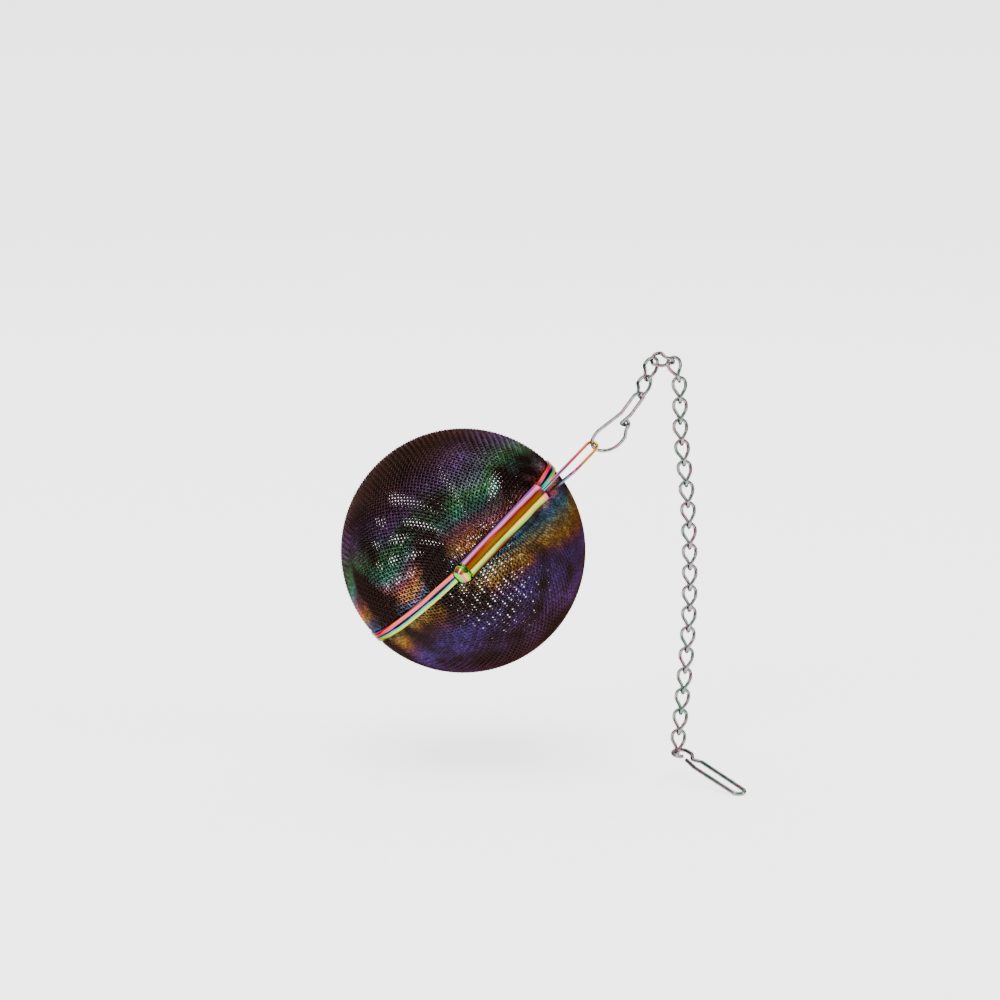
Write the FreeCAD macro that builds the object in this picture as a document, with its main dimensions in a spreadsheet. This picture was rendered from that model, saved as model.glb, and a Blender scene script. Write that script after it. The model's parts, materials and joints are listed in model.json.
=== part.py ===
import FreeCAD, Part
import Sketcher
import math
import os
import re

# Tea infuser: two woven half-ball baskets in crimped rims, joined by a rolled-sleeve hinge,
# with a wire clip, a curb chain and a wire hook for the rim of the cup.
#
# Row frame: millimetres, +Z up, origin at the lowest point of the ball.  The ball leans as it
# does in a round bowl.  Ball frame: the seam is its XY plane, its centre is the ball's centre,
# the hinge runs along +X on the -Y side and the upper basket is on the +Z side.

Vector = FreeCAD.Vector
Rotation = FreeCAD.Rotation
Placement = FreeCAD.Placement

SIZES = {
    "ball_radius": 25.0,
    "mesh_thickness": 0.3,
    "seam_tilt": 44.0,
    "hinge_turn": 22.0,
    "seam_gap": 0.1,
    "rim_height": 1.1,
    "rim_sheet": 0.45,
    "rim_clearance": 0.05,
    "rim_floor": 0.4,
    "rim_round": 0.2,
    "barrel_radius": 2.1,
    "barrel_wall": 0.45,
    "barrel_length": 22.5,
    "barrel_shift": 1.2,
    "barrel_clearance": 0.35,
    "leaf_length": 17.0,
    "leaf_sheet": 0.4,
    "pin_clearance": 0.1,
    "pin_neck": 0.5,
    "pin_head_length": 2.6,
    "pin_flat_share": 0.45,
    "pin_crown_share": 0.25,
    "pin_shoulder_share": 0.8,
    "pin_round_share": 0.55,
    "hinge_wire_radius": 0.35,
    "solder_clearance": 0.02,
    "hairpin_reach": 28.0,
    "hairpin_width": 2.2,
    "hairpin_bend": 1.3,
    "hairpin_roll": 30.0,
    "wire_in_pin": 5.0,
    "strap_angle": 55.0,
    "strap_width": 2.2,
    "strap_length": 2.6,
    "strap_wall": 0.4,
    "latch_width": 4.0,
    "latch_sheet": 0.5,
    "latch_lip": 0.45,
    "latch_clearance": 0.1,
    "latch_drop": 2.4,
    "clip_wire_radius": 0.35,
    "clip_length": 17.0,
    "clip_width": 7.8,
    "clip_neck_width": 3.1,
    "clip_waist": 10.4,
    "clip_bulge": 4.6,
    "clip_bulge_run": 1.1,
    "catch_height": 6.6,
    "catch_share": 0.72,
    "catch_depth": 1.8,
    "catch_rise": 1.3,
    "gate_gap": 0.12,
    "gate_root_rise": 1.4,
    "gate_tip_reach": 0.7,
    "gate_heel_reach": 1.4,
    "link_wire_radius": 0.35,
    "link_pitch": 4.2,
    "link_end_radius": 1.25,
    "link_gap": 0.09,
    "link_slack_turn": 3.0,
    "hook_wire_radius": 0.4,
    "hook_eye_radius": 1.6,
    "hook_length": 24.0,
    "hook_width": 3.3,
    "hook_return": 19.0,
    "hook_eye_gap": 0.46,
    "hook_shank": 5.4,
    "hook_step": 1.95,
    "hook_bend": 0.5,
    "hook_tip_bend": 4.0,
    "hook_tip_run": 4.0,
}

LINK_COUNT = 22
TURNED_LINKS = 6
LINK_POINTS = 40
ROUTE_STEPS = 4000

# Shares: how far a link's end stays flat before the twist, in end radii, and how far across the
# hook the middle and the tip of its short leg stand, in half widths.
FLAT_END = 0.6
SHORT_LEG_MIDDLE = 1.15
SHORT_LEG_TIP = 0.7
SHANK_STEP = 0.25

# Bend radii of the clip's wire, in wire radii.
CATCH_BEND = 1.6
GATE_BEND = 2.0
SIDE_BEND = 4.4

# The way the chain lies, from the clip's narrow end: up to the cup's rim, over it, and down the
# outside of the cup to the table.
CHAIN_ROUTE = [
    Vector(0, 0, 0),
    Vector(1.2, -1.7, 3.6),
    Vector(2.4, -3.0, 7.4),
    Vector(5.6, -5.2, 7.7),
    Vector(7.1, -6.2, 3.9),
    Vector(7.3, -6.5, -3.6),
    Vector(8.5, -6.7, -16.0),
    Vector(9.4, -6.9, -31.0),
    Vector(9.4, -7.0, -42.0),
    Vector(8.7, -7.1, -54.0),
    Vector(7.5, -7.2, -67.0),
    Vector(6.9, -7.3, -77.0),
    Vector(6.9, -7.4, -86.0),
]

# The clip hangs between its eye and the cup's rim, and the hook lies on the table.
CLIP_DIRECTION = Vector(7.8, -6.2, 11.9)
CLIP_ACROSS = Vector(0.82, 0.57, -0.24)
HOOK_DIRECTION = Vector(12.2, -20.0, -4.6)
HOOK_ACROSS = Vector(0.86, 0.50, 0.12)

doc = FreeCAD.newDocument("tea_infuser")
sheet = doc.addObject("Spreadsheet::Sheet", "Sizes")


def fill_sheet():
    """Put every driving dimension in the sheet, with its name beside it."""
    for row, (alias, value) in enumerate(SIZES.items(), start=1):
        sheet.set("A%d" % row, alias)
        sheet.set("B%d" % row, str(value))
        sheet.setAlias("B%d" % row, alias)
    doc.recompute()


def size(alias):
    """The value that the sheet holds for a named dimension."""
    return float(sheet.get(alias))


def bound(text):
    """An expression on bare aliases, written out with the sheet's name."""
    return re.sub("[a-z_]+", named, text)


def named(match):
    word = match.group()
    return "Sizes." + word if word in SIZES else word


def value_of(text):
    """The number that an expression on the sheet's aliases gives."""
    result = sheet.evalExpression(bound(text))
    return float(getattr(result, "Value", result))


def bind(item, **expressions):
    for name, text in expressions.items():
        item.setExpression(name, bound(text))
    return item


# ---------------------------------------------------------------- primitives and booleans


def box(name, corner, length, width, height):
    """A box from its lowest corner, all given as expressions."""
    item = doc.addObject("Part::Box", name)
    bind(item, Length=length, Width=width, Height=height)
    bind_base(item, corner)
    return item


def bind_base(item, corner):
    for axis, text in zip("xyz", corner):
        item.setExpression(".Placement.Base." + axis, bound(text))


def cylinder(name, radius, height, corner, turn=None):
    """A cylinder from the centre of its first face, along Z or along a turned axis."""
    item = doc.addObject("Part::Cylinder", name)
    if turn is not None:
        item.Placement = Placement(Vector(), turn)
    bind(item, Radius=radius, Height=height)
    bind_base(item, corner)
    return item


ALONG_X = Rotation(Vector(0, 1, 0), 90)


def cut(name, base, tool):
    item = doc.addObject("Part::Cut", name)
    item.Base = base
    item.Tool = tool
    return item


def fuse(name, first, second):
    item = doc.addObject("Part::Fuse", name)
    item.Base = first
    item.Tool = second
    item.Refine = True
    return item


# ---------------------------------------------------------------- bodies with sketches


def new_body(name):
    return doc.addObject("PartDesign::Body", name)


def origin_plane(body, role):
    for feature in body.Origin.OriginFeatures:
        if feature.Role == role:
            return feature
    raise RuntimeError("no plane " + role)


def new_sketch(body, name, role="XZ_Plane"):
    item = body.newObject("Sketcher::SketchObject", name)
    item.AttachmentSupport = [(origin_plane(body, role), "")]
    item.MapMode = "FlatFace"
    return item


def fix_point(sketch, geometry, end, across, up):
    """Hold one end of a curve at a place given by two expressions."""
    for kind, text in (("DistanceX", across), ("DistanceY", up)):
        index = sketch.addConstraint(Sketcher.Constraint(kind, geometry, end, value_of(text)))
        sketch.setExpression("Constraints[%d]" % index, bound(text))


def outline(sketch, corners):
    """A closed outline of straight lines through corners given as pairs of expressions."""
    places = [Vector(value_of(across), value_of(up), 0) for across, up in corners]
    count = len(places)
    for index in range(count):
        sketch.addGeometry(Part.LineSegment(places[index], places[(index + 1) % count]))
    for index in range(count):
        following = (index + 1) % count
        sketch.addConstraint(Sketcher.Constraint("Coincident", index, 2, following, 1))
    for index, (across, up) in enumerate(corners):
        fix_point(sketch, index, 1, across, up)


def revolve(body, sketch, name, axis):
    item = body.newObject("PartDesign::Revolution", name)
    item.Profile = sketch
    item.ReferenceAxis = (sketch, [axis])
    item.Angle = 360.0
    body.Tip = item
    return item


def round_off(body, turned, radius, wanted):
    """Fillets the round edges of a turned feature that the test picks out."""
    doc.recompute()
    names = []
    for number, edge in enumerate(turned.Shape.Edges, start=1):
        if isinstance(edge.Curve, Part.Circle) and wanted(edge.Curve):
            names.append("Edge%d" % number)
    fillet = body.newObject("PartDesign::Fillet", turned.Name + "_round")
    fillet.Base = (turned, names)
    bind(fillet, Radius=radius)
    body.Tip = fillet


# ---------------------------------------------------------------- bent wire


def unit(direction):
    return Vector(direction).normalize()


def bent_path(points, radius):
    """Straight runs through the points, with each corner rounded by a tangent arc."""
    edges = []
    start = points[0]
    for index in range(1, len(points) - 1):
        corner = points[index]
        back = unit(points[index - 1] - corner)
        ahead = unit(points[index + 1] - corner)
        half_turn = (math.pi - back.getAngle(ahead)) / 2
        run = radius * math.tan(half_turn)
        first = corner + back * run
        last = corner + ahead * run
        inward = unit(back + ahead)
        middle = corner + inward * (radius / math.cos(half_turn) - radius)
        edges.append(Part.LineSegment(start, first).toShape())
        edges.append(Part.Arc(first, middle, last).toShape())
        start = last
    edges.append(Part.LineSegment(start, points[-1]).toShape())
    return Part.Wire(edges)


def round_wire(path, radius):
    """A round section carried along a path."""
    first = path.OrderedEdges[0]
    start = first.valueAt(first.FirstParameter)
    heading = first.tangentAt(first.FirstParameter)
    section = Part.Wire(Part.makeCircle(radius, start, heading))
    solid = path.makePipeShell([section], True, True)
    if solid.Volume < 0:
        solid.reverse()
    return solid


def feature(name, shape, place=None):
    item = doc.addObject("Part::Feature", name)
    item.Shape = shape
    if place is not None:
        item.Placement = place
    return item


# ---------------------------------------------------------------- frames


def ball_placement():
    """From the ball frame to the row frame: lean of the seam, then turn of the hinge."""
    lean = Rotation(Vector(0, -1, 0), size("seam_tilt"))
    turn = Rotation(Vector(0, 0, 1), size("hinge_turn"))
    return Placement(Vector(0, 0, size("ball_radius")), lean.multiply(turn))


HINGE_DISTANCE = "( ball_radius + rim_clearance + rim_sheet + barrel_clearance + barrel_radius )"
RIM_OUTER = "( ball_radius + rim_clearance + rim_sheet )"
RIM_TOP = "( seam_gap / 2 + rim_height )"
CLOTH_EDGE = "( seam_gap / 2 + rim_floor )"


def direction_frame(origin, up, across):
    """A placement whose Z runs along up and whose X is nearest to across."""
    third = unit(up)
    second = unit(third.cross(across))
    first = second.cross(third)
    return Placement(origin, Rotation(first, second, third, "ZXY"))


# ---------------------------------------------------------------- baskets and rims


def make_basket(name, side):
    """Half ball of cloth, closed solid of the cloth's own thickness; side is 1 above the seam."""
    body = new_body(name)
    sketch = new_sketch(body, name + "_profile")
    outer = value_of("ball_radius")
    inner = value_of("ball_radius - mesh_thickness")
    edge = value_of(CLOTH_EDGE)
    rim_end, pole_end = (1, 2) if side > 0 else (2, 1)
    for radius in (outer, inner):
        lean = math.asin(edge / radius)
        low, high = (lean, math.pi / 2) if side > 0 else (-math.pi / 2, -lean)
        circle = Part.Circle(Vector(), Vector(0, 0, 1), radius)
        sketch.addGeometry(Part.ArcOfCircle(circle, low, high))
    width_outer = math.sqrt(outer ** 2 - edge ** 2)
    width_inner = math.sqrt(inner ** 2 - edge ** 2)
    level = side * edge
    sketch.addGeometry(Part.LineSegment(Vector(width_outer, level, 0), Vector(width_inner, level, 0)))
    sketch.addGeometry(Part.LineSegment(Vector(0, side * outer, 0), Vector(0, side * inner, 0)))
    for index in (0, 1):
        sketch.addConstraint(Sketcher.Constraint("Coincident", index, 3, -1, 1))
        sketch.addConstraint(Sketcher.Constraint("Coincident", 2, index + 1, index, rim_end))
        sketch.addConstraint(Sketcher.Constraint("Coincident", 3, index + 1, index, pole_end))
    sketch.addConstraint(Sketcher.Constraint("Horizontal", 2))
    sketch.addConstraint(Sketcher.Constraint("PointOnObject", 3, 1, -2))
    sketch.addConstraint(Sketcher.Constraint("PointOnObject", 3, 2, -2))
    for index, text in ((0, "ball_radius"), (1, "ball_radius - mesh_thickness")):
        number = sketch.addConstraint(Sketcher.Constraint("Radius", index, value_of(text)))
        sketch.setExpression("Constraints[%d]" % number, bound(text))
    number = sketch.addConstraint(Sketcher.Constraint("DistanceY", 2, 1, level))
    sign = "" if side > 0 else "-1 * "
    sketch.setExpression("Constraints[%d]" % number, bound(sign + CLOTH_EDGE))
    revolve(body, sketch, name + "_dome", "V_Axis")
    body.Placement = ball_placement()
    return body


def make_rim(name, side):
    """Folded ring: two walls and a floor, with the cloth's edge seated between the walls."""
    sign = "" if side > 0 else "-1 * "
    slot_outer = "ball_radius + rim_clearance"
    slot_inner = "ball_radius - mesh_thickness - rim_clearance"
    wall_inner = slot_inner + " - rim_sheet"
    floor = sign + "( seam_gap / 2 )"
    top = sign + RIM_TOP
    seat = sign + CLOTH_EDGE
    corners = [
        (wall_inner, floor),
        (RIM_OUTER, floor),
        (RIM_OUTER, top),
        (slot_outer, top),
        (slot_outer, seat),
        (slot_inner, seat),
        (slot_inner, top),
        (wall_inner, top),
    ]
    body = new_body(name)
    sketch = new_sketch(body, name + "_profile")
    outline(sketch, corners)
    ring = revolve(body, sketch, name + "_ring", "V_Axis")
    outer = value_of(RIM_OUTER)
    round_off(body, ring, "rim_round", lambda circle: abs(circle.Radius - outer) < 1e-6)
    body.Placement = ball_placement()
    return body


# ---------------------------------------------------------------- hinge


def make_barrel():
    """Rolled sleeve along the hinge, with a leaf that lies on the upper rim."""
    start = "-1 * barrel_length / 2 + barrel_shift"
    place = (start, "-1 * " + HINGE_DISTANCE, "0")
    sleeve = cylinder("sleeve_outside", "barrel_radius", "barrel_length", place, ALONG_X)
    leaf = box(
        "leaf_blank",
        ("-1 * leaf_length / 2", "-1 * " + HINGE_DISTANCE, RIM_TOP),
        "leaf_length",
        HINGE_DISTANCE + " / 2",
        "leaf_sheet",
    )
    joined = fuse("sleeve_with_leaf", sleeve, leaf)
    ball = cylinder("leaf_inner_edge", "ball_radius + rim_clearance", "4 * barrel_radius",
                    ("0", "0", "0"))
    trimmed = cut("leaf_trimmed", joined, ball)
    bore = cylinder("sleeve_bore", "barrel_radius - barrel_wall", "barrel_length", place, ALONG_X)
    barrel = cut("hinge_barrel", trimmed, bore)
    barrel.Placement = ball_placement()
    return barrel


def make_pin():
    """Rod inside the barrel, with a neck and a domed head just past the barrel's lower end."""
    body = new_body("hinge_pin")
    sketch = new_sketch(body, "hinge_pin_profile")
    rod = "barrel_radius - barrel_wall - pin_clearance"
    hole = "hinge_wire_radius + solder_clearance"
    face = "-1 * barrel_length / 2 + barrel_shift - pin_clearance"
    end = "barrel_length / 2 + barrel_shift - pin_neck"
    neck = "barrel_radius - pin_neck"
    tip = "( " + face + " - pin_head_length )"
    shoulder = "( " + face + " - pin_head_length + barrel_radius * pin_shoulder_share )"
    corners = [
        (tip, "0"),
        (tip, "barrel_radius * pin_flat_share"),
        (tip + " + barrel_radius * pin_crown_share", "barrel_radius * pin_shoulder_share"),
        (shoulder, "barrel_radius"),
        (shoulder + " + pin_neck / 2", "barrel_radius"),
        (shoulder + " + pin_neck", neck),
        (face + " - pin_neck / 2", neck),
        (face, "barrel_radius"),
        (face, rod),
        (end, rod),
        (end, hole),
        (end + " - wire_in_pin", hole),
        (end + " - wire_in_pin", "0"),
    ]
    outline(sketch, corners)
    turned = revolve(body, sketch, "hinge_pin_turned", "H_Axis")
    last = value_of(shoulder) + 1e-6
    round_off(body, turned, "barrel_radius * pin_round_share", lambda circle: circle.Center.x < last)
    local = Placement(Vector(0, -value_of(HINGE_DISTANCE), 0), Rotation())
    body.Placement = ball_placement().multiply(local)
    return body


HAIRPIN_LEVEL = "( hairpin_width * cos(hairpin_roll * 1 deg) )"


def make_hinge_wire():
    """Hairpin: out of the pin along the hinge, round the eye, and back in to the strap."""
    line = -value_of(HINGE_DISTANCE)
    level = -value_of(HAIRPIN_LEVEL)
    width = size("hairpin_width")
    roll = math.radians(size("hairpin_roll"))
    sideways = Vector(0, -math.sin(roll), -math.cos(roll))
    start = value_of("barrel_length / 2 + barrel_shift - pin_neck - wire_in_pin + solder_clearance")
    tip = Vector(size("hairpin_reach") - size("hinge_wire_radius"), line, 0)
    leaving = tip - Vector(width / 2, 0, 0)
    returning = leaving + sideways * width
    turn = Part.Arc(leaving, tip + sideways * (width / 2), returning)
    angle = math.radians(size("strap_angle"))
    inward = Vector(math.cos(angle), -math.sin(angle), 0)
    corner = inward * (-returning.y / math.sin(angle)) + Vector(0, 0, level)
    end = inward * value_of("ball_radius + rim_clearance + strap_wall") + Vector(0, 0, level)
    edges = [Part.LineSegment(Vector(start, line, 0), leaving).toShape(), turn.toShape()]
    edges.extend(bent_path([returning, corner, end], size("hairpin_bend")).OrderedEdges)
    solid = round_wire(Part.Wire(edges), size("hinge_wire_radius"))
    return feature("hinge_wire", solid, ball_placement())


def make_strap():
    """Small block under the lower rim, bored for the return leg of the hinge wire."""
    reach = HAIRPIN_LEVEL + " + hinge_wire_radius + strap_wall"
    block = box(
        "strap_blank",
        ("ball_radius - strap_length / 2", "-1 * strap_width / 2",
         "-1 * ( " + reach + " )"),
        "strap_length / 2 + strap_length",
        "strap_width",
        reach + " - " + RIM_TOP,
    )
    ball = cylinder("strap_inner_edge", "ball_radius + rim_clearance", "4 * strap_length",
                    ("0", "0", "-2 * strap_length"))
    shaped = cut("strap_shaped", block, ball)
    bore = cylinder(
        "strap_bore",
        "hinge_wire_radius + solder_clearance",
        "2 * strap_length",
        ("ball_radius + rim_clearance + strap_wall - solder_clearance", "0",
         "-1 * " + HAIRPIN_LEVEL),
        ALONG_X,
    )
    strap = cut("hinge_wire_strap", shaped, bore)
    turn = Placement(Vector(), Rotation(Vector(0, 0, 1), -size("strap_angle")))
    strap.Placement = ball_placement().multiply(turn)
    return strap


# ---------------------------------------------------------------- latch


def rim_block(name, bottom, height):
    """Block on the outside of a rim opposite the hinge, hollowed to sit on the rim's face."""
    blank = box(
        name + "_blank",
        ("-1 * latch_width / 2", "ball_radius / 2", bottom),
        "latch_width",
        "ball_radius / 2 + rim_clearance + rim_sheet + latch_lip",
        height,
    )
    face = cylinder(name + "_seat", RIM_OUTER, "4 * rim_height", ("0", "0", "-2 * rim_height"))
    block = cut(name, blank, face)
    block.Placement = ball_placement()
    return block


def make_tongue():
    """Spring strip that hangs from the anchor across the keeper, with a turned-in toe."""
    face = RIM_OUTER + " + latch_lip + latch_clearance"
    strip = box(
        "tongue_strip",
        ("-1 * latch_width / 2", face, "-1 * latch_drop"),
        "latch_width",
        "latch_sheet",
        "latch_drop + " + RIM_TOP,
    )
    grip = box(
        "tongue_grip",
        ("-1 * latch_width / 2", face + " + latch_sheet", "-1 * latch_drop"),
        "latch_width",
        "2 * latch_sheet",
        "latch_sheet",
    )
    tongue = fuse("latch_tongue", strip, grip)
    tongue.Placement = ball_placement()
    return tongue


# ---------------------------------------------------------------- clip


def eye_centre():
    """Where the clip's wire crosses the hairpin's turn, in the row frame."""
    tip = size("hairpin_reach") - size("hinge_wire_radius")
    inside = size("hinge_wire_radius") + size("clip_wire_radius") + size("link_gap")
    roll = math.radians(size("hairpin_roll"))
    middle = Vector(0, -math.sin(roll), -math.cos(roll)) * (size("hairpin_width") / 2)
    local = Vector(tip - inside, -value_of(HINGE_DISTANCE), 0) + middle
    return ball_placement().multVec(local)


def clip_frame():
    """Clip frame: Z to the narrow end, X across the flat, with the wide arc seated in the eye.

    The arc rests in the eye at the point where its wire runs square to the hinge."""
    turned = direction_frame(Vector(), CLIP_DIRECTION, CLIP_ACROSS).Rotation
    across = turned.multVec(Vector(1, 0, 0))
    up = turned.multVec(Vector(0, 0, 1))
    along_hinge = ball_placement().Rotation.multVec(Vector(1, 0, 0))
    lean = math.atan2(-across.dot(along_hinge), up.dot(along_hinge))
    wide = size("clip_width") / 2 - size("clip_wire_radius")
    seat = across * (wide * math.sin(lean)) + up * (wide * (1 - math.cos(lean)))
    return Placement(eye_centre() - seat, turned)


def clip_corners():
    """Corners of the pear outline, from the catch round the wide and narrow ends to the gate."""
    radius = size("clip_wire_radius")
    wide = size("clip_width") / 2 - radius
    narrow = size("clip_neck_width") / 2 - radius
    return {
        "catch": Vector(wide * size("catch_share"), 0, size("catch_height")),
        "bulge_right": Vector(wide, 0, size("clip_bulge")),
        "bulge_left": Vector(-wide, 0, size("clip_bulge")),
        "waist_left": Vector(-narrow, 0, size("clip_waist")),
        "head": Vector(0, 0, size("clip_length") - 2 * radius),
        "waist_right": Vector(narrow, 0, size("clip_waist")),
    }


def make_clip():
    """Pear-shaped wire, open at the catch, with a J turned out of its plane to hold the gate."""
    corner = clip_corners()
    radius = size("clip_wire_radius")
    depth = size("catch_depth")
    wide = corner["bulge_right"].x
    narrow = corner["waist_right"].x
    catch_top = corner["catch"] + Vector(0, 0, size("catch_rise"))
    catch_over = catch_top + Vector(0, depth, 0)
    catch_end = corner["catch"] + Vector(0, depth, -radius)
    below_right = corner["bulge_right"] - Vector(0, 0, size("clip_bulge_run"))
    catch = [catch_end, catch_over, catch_top, corner["catch"], corner["bulge_right"], below_right]
    foot_right = Vector(wide, 0, wide)
    foot_left = Vector(-wide, 0, wide)
    shoulder_left = corner["head"] + Vector(-narrow, 0, -narrow)
    shoulder_right = corner["head"] + Vector(narrow, 0, -narrow)
    side = [foot_left, corner["bulge_left"], corner["waist_left"], shoulder_left]
    arm_end = gate_root() + Vector(0, 0, size("gate_gap") / 2)
    edges = list(bent_path(catch, CATCH_BEND * radius).OrderedEdges)
    edges.append(Part.LineSegment(below_right, foot_right).toShape())
    edges.append(Part.Arc(foot_right, Vector(0, 0, 0), foot_left).toShape())
    edges.extend(bent_path(side, SIDE_BEND * radius).OrderedEdges)
    edges.append(Part.Arc(shoulder_left, corner["head"], shoulder_right).toShape())
    edges.append(Part.LineSegment(shoulder_right, arm_end).toShape())
    solid = round_wire(Part.Wire(edges), radius)
    return feature("clip_body", solid, clip_frame())


def gate_root():
    """Where the springy arm leaves the clip's neck, in the clip frame."""
    return clip_corners()["waist_right"] + Vector(0, 0, size("gate_root_rise"))


def make_gate():
    """Springy arm from the neck down into the catch."""
    corner = clip_corners()
    radius = size("clip_wire_radius")
    start = gate_root() - Vector(0, 0, size("gate_gap") / 2)
    inside = corner["catch"] + Vector(0, size("catch_depth") / 2, radius)
    tip = inside + Vector(size("gate_tip_reach"), 0, 0)
    heel = inside - Vector(size("gate_heel_reach"), 0, 0)
    path = bent_path([start, corner["waist_right"], heel, tip], GATE_BEND * radius)
    return feature("clip_gate", round_wire(path, radius), clip_frame())


# ---------------------------------------------------------------- chain


def link_length():
    """Distance between the centres of the wire at a link's two ends."""
    return size("link_pitch") + crossing()


def crossing():
    """Distance between the centres of two wires that hang in each other."""
    return 2 * size("link_wire_radius") + size("link_gap")


def clip_top():
    """Centre of the wire at the clip's narrow end, in the row frame."""
    return clip_frame().multVec(clip_corners()["head"])


def chain_directions():
    """Unit direction of each link: chords of one pitch along the route."""
    start = clip_top()
    curve = Part.BSplineCurve()
    curve.interpolate([start + offset for offset in CHAIN_ROUTE])
    pitch = size("link_pitch")
    place = curve.value(curve.FirstParameter)
    parameter = curve.FirstParameter
    step = (curve.LastParameter - curve.FirstParameter) / ROUTE_STEPS
    directions = []
    for _ in range(LINK_COUNT):
        while curve.value(parameter).distanceToPoint(place) < pitch:
            parameter += step
        following = curve.value(parameter)
        directions.append(unit(following - place))
        place = following
    return directions


def contact(holding, hanging, heading):
    """Direction from one crossed wire to the other that hangs in it: square to both wires."""
    normal = unit(holding.cross(hanging))
    if normal.dot(heading) < 0:
        normal = normal * -1
    return normal


def chain_frames():
    """One frame per link: origin at the wire centre of its top bend, Z down the link.

    Each link keeps the roll of the one before, so its upper bend stays square to the bend that
    it hangs in; the first hangs square to the flat of the clip.  The first few take up some of
    the slack in their bends, so that the hanging stretch faces outwards from the cup."""
    directions = chain_directions()
    heading = unit(CLIP_DIRECTION)
    holding = clip_frame().Rotation.multVec(Vector(1, 0, 0))
    across = clip_frame().Rotation.multVec(Vector(0, 1, 0))
    bottom = clip_top()
    frames = []
    for index in range(LINK_COUNT):
        across = Rotation(heading, directions[index]).multVec(across)
        if index < TURNED_LINKS:
            slack = Rotation(directions[index], -size("link_slack_turn"))
            across = slack.multVec(across)
        between = contact(holding, across, heading + directions[index])
        heading = directions[index]
        top = bottom - between * crossing()
        frame = direction_frame(top, heading, across)
        frames.append(frame)
        bottom = top + heading * link_length()
        holding = frame.Rotation.multVec(Vector(0, 1, 0))
    return frames


def link_shape():
    """Twisted curb link: a long loop whose lower end is turned a quarter about its length."""
    radius = size("link_end_radius")
    length = link_length()
    side = length - 2 * radius
    flat = FLAT_END * radius
    total = 2 * side + 2 * math.pi * radius
    points = []
    for index in range(LINK_POINTS):
        travel = (index + 0.5) * total / LINK_POINTS
        across, along = stadium_point(travel, radius, side)
        share = min(max((along - flat) / (length - 2 * flat), 0.0), 1.0)
        twist = math.pi / 2 * (3 * share ** 2 - 2 * share ** 3)
        points.append(Vector(across * math.cos(twist), across * math.sin(twist), along))
    curve = Part.BSplineCurve()
    curve.interpolate(points, PeriodicFlag=True)
    middle = (curve.FirstParameter + curve.LastParameter) / 2
    wire = size("link_wire_radius")
    first = round_wire(Part.Wire(curve.toShape(curve.FirstParameter, middle)), wire)
    second = round_wire(Part.Wire(curve.toShape(middle, curve.LastParameter)), wire)
    return first.fuse(second).Solids[0]


def stadium_point(travel, radius, side):
    """Point on a long loop of two straight sides and two half circles, by distance round it."""
    half = math.pi * radius
    if travel < side:
        return radius, radius + travel
    travel -= side
    if travel < half:
        angle = travel / radius
        return radius * math.cos(angle), radius + side + radius * math.sin(angle)
    travel -= half
    if travel < side:
        return -radius, radius + side - travel
    travel -= side
    angle = travel / radius
    return -radius * math.cos(angle), radius - radius * math.sin(angle)


def make_chain():
    shape = link_shape()
    links = []
    for index, frame in enumerate(chain_frames(), start=1):
        links.append(feature("chain_link_%02d" % index, shape.copy(), frame))
    return links


# ---------------------------------------------------------------- hook


def hook_frame():
    """Hook frame: Z from the eye along the hook, X across it; origin at the eye's wire centre."""
    last = chain_frames()[-1]
    heading = last.Rotation.multVec(Vector(0, 0, 1))
    holding = last.Rotation.multVec(Vector(0, 1, 0))
    bottom = last.multVec(Vector(0, 0, link_length()))
    turned = direction_frame(Vector(), HOOK_DIRECTION, HOOK_ACROSS).Rotation
    across = turned.multVec(Vector(1, 0, 0))
    wires = size("link_wire_radius") + size("hook_wire_radius") + size("link_gap")
    between = contact(holding, across, heading + unit(HOOK_DIRECTION))
    return Placement(bottom - between * wires, turned)


def make_hook():
    """Closed eye on the last link, a stepped shank, a long leg, a U-turn and a shorter leg."""
    eye = size("hook_eye_radius")
    wire = size("hook_wire_radius")
    gap = size("hook_eye_gap")
    half = size("hook_width") / 2 - wire
    shank = size("hook_shank")
    bottom = size("hook_length") - wire
    ring_end = Vector(-gap, 0, eye + math.sqrt(eye ** 2 - gap ** 2))
    ring_side = Vector(eye, 0, eye)
    turn_start = Vector(half, 0, bottom - half)
    turn_end = Vector(-half, 0, bottom - half)
    back = bottom + wire - size("hook_return")
    long_leg = [
        ring_side,
        Vector(eye, 0, 2 * eye),
        Vector(SHANK_STEP * half, 0, shank),
        Vector(half, 0, shank + size("hook_step")),
        turn_start,
    ]
    short_leg = [
        turn_end,
        Vector(-SHORT_LEG_MIDDLE * half, 0, back + size("hook_tip_run")),
        Vector(-SHORT_LEG_TIP * half, 0, back),
    ]
    edges = [Part.Arc(ring_end, Vector(0, 0, 0), ring_side).toShape()]
    edges.extend(bent_path(long_leg, size("hook_bend")).OrderedEdges)
    edges.append(Part.Arc(turn_start, Vector(0, 0, bottom), turn_end).toShape())
    edges.extend(bent_path(short_leg, size("hook_tip_bend")).OrderedEdges)
    return feature("end_hook", round_wire(Part.Wire(edges), wire), hook_frame())


# ---------------------------------------------------------------- document


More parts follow.
